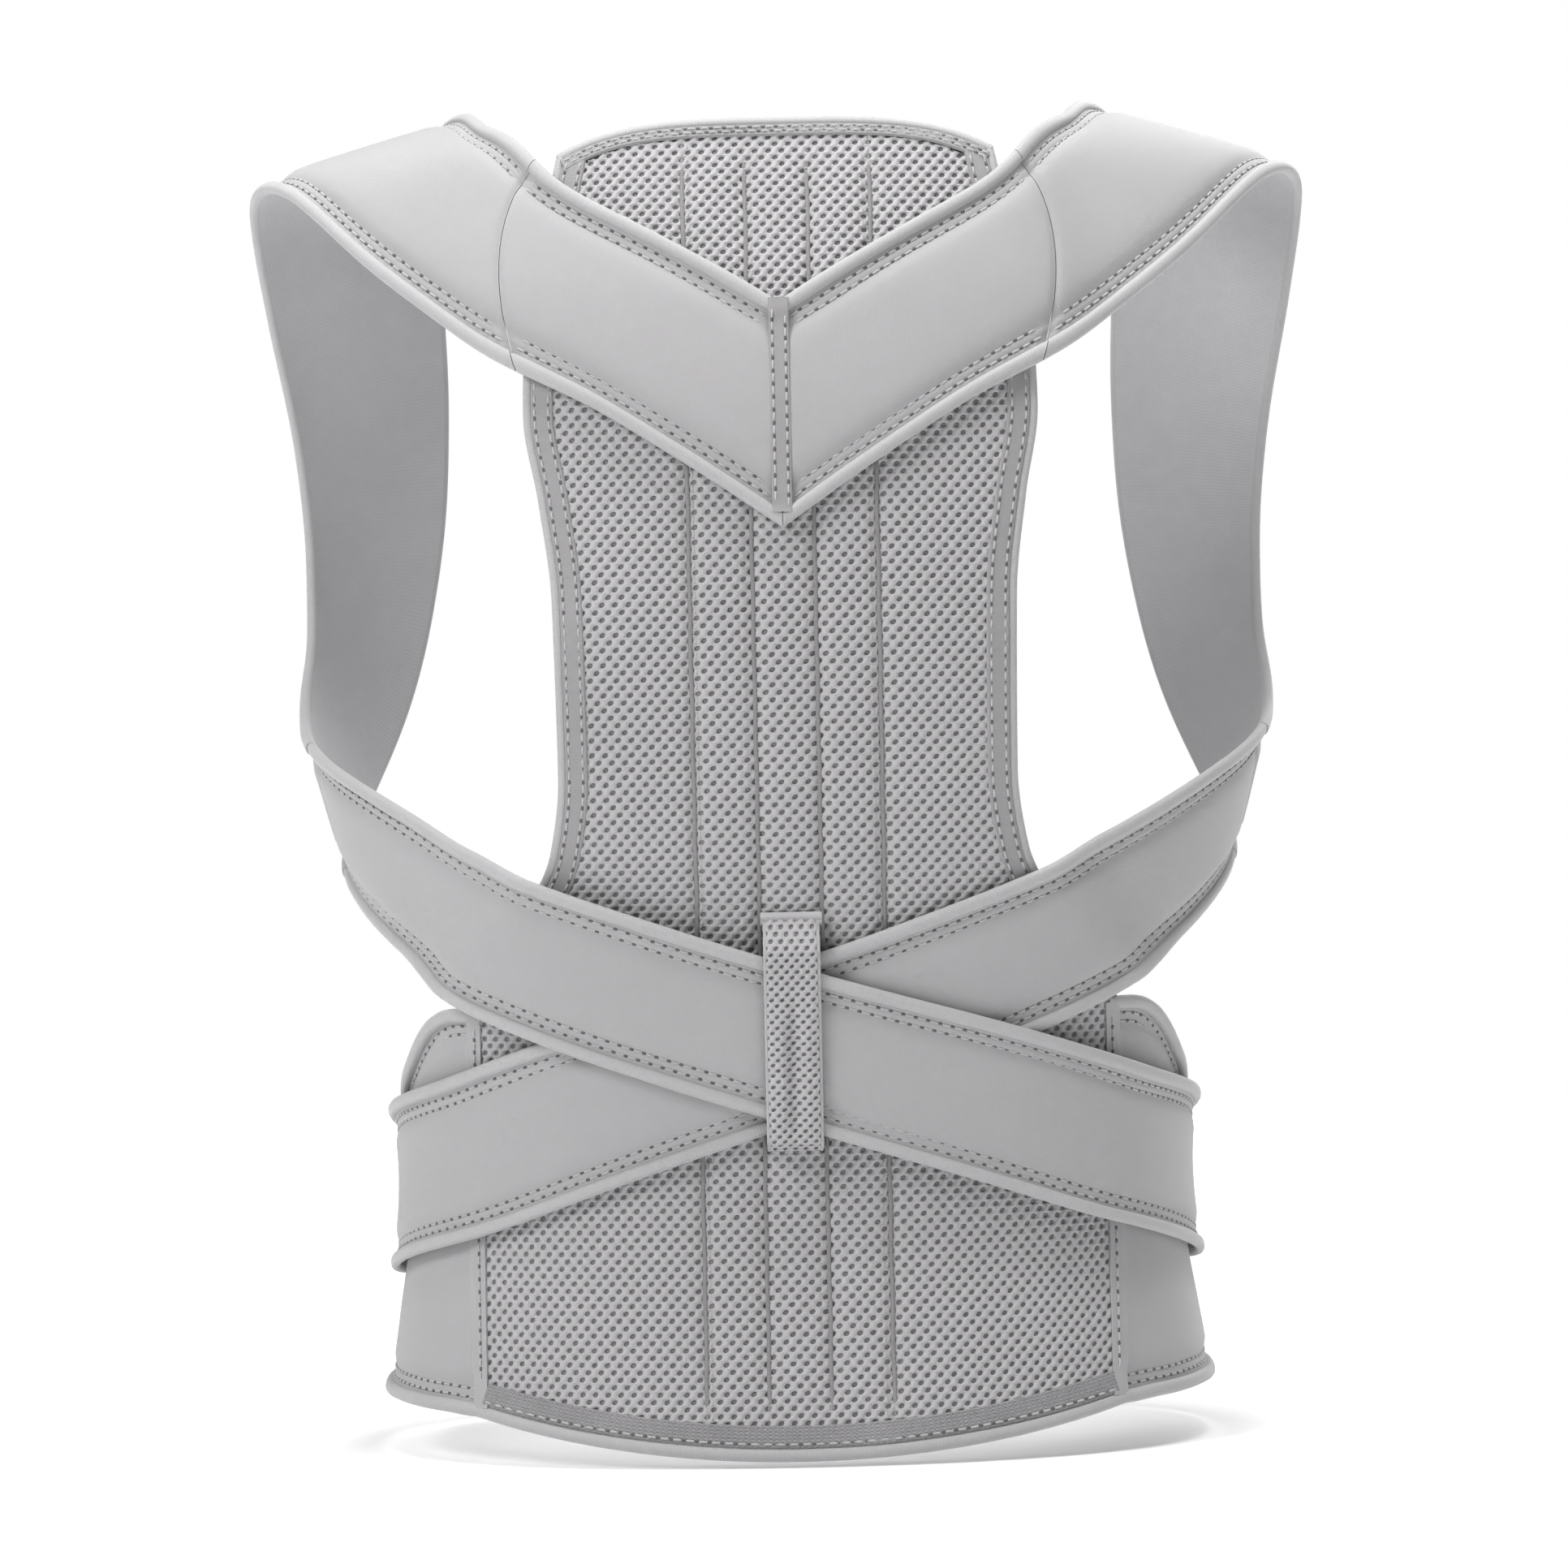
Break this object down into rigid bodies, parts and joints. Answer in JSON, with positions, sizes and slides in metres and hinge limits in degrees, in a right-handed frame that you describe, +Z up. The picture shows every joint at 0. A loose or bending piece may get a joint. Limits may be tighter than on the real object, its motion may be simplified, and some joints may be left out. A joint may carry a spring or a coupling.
{
  "type": "posture corrector",
  "caption": "Light grey back brace in its worn form: mesh back panel, V yoke, shoulder straps that cross in a keeper loop behind the waist, and a wrap belt.",
  "frame": {"origin": "midway between the places on the two shoulders that carry the straps, at their height", "axes": "+Z up along the wearer's spine, +Y the way the wearer faces, +X towards the wearer's right"},
  "size_m": [0.3632, 0.2272, 0.4537],
  "materials": {
    "smooth_fabric": "smooth matt laminated knit, light cool grey",
    "air_mesh": "open spacer mesh, light grey",
    "hook_tape": "short stiff hook pile, grey",
    "edge_binding": "folded elastic binding, light grey"
  },
  "bodies": {
    "root": {"yoke_right": "smooth_fabric", "yoke_left": "smooth_fabric", "shoulder_strap_right": "smooth_fabric", "shoulder_strap_left": "smooth_fabric", "cross_strap_right": "smooth_fabric", "cross_strap_left": "smooth_fabric", "belt_wing_right": "smooth_fabric", "belt_wing_left": "smooth_fabric", "yoke_seam_tape": "smooth_fabric", "back_panel": "air_mesh", "keeper_loop": "air_mesh", "strap_hook_patch_right": "hook_tape", "strap_hook_patch_left": "hook_tape", "belt_hook_patch": "hook_tape", "panel_binding": "edge_binding", "panel_hem_binding": "edge_binding", "yoke_upper_binding_right": "edge_binding", "yoke_lower_binding_right": "edge_binding", "yoke_upper_binding_left": "edge_binding", "yoke_lower_binding_left": "edge_binding", "shoulder_inner_binding_right": "edge_binding", "shoulder_outer_binding_right": "edge_binding", "shoulder_inner_binding_left": "edge_binding", "shoulder_outer_binding_left": "edge_binding", "cross_lower_binding_right": "edge_binding", "cross_upper_binding_right": "edge_binding", "cross_lower_binding_left": "edge_binding", "cross_upper_binding_left": "edge_binding", "belt_binding_right": "edge_binding", "belt_binding_left": "edge_binding"}
  },
  "joints": []
}
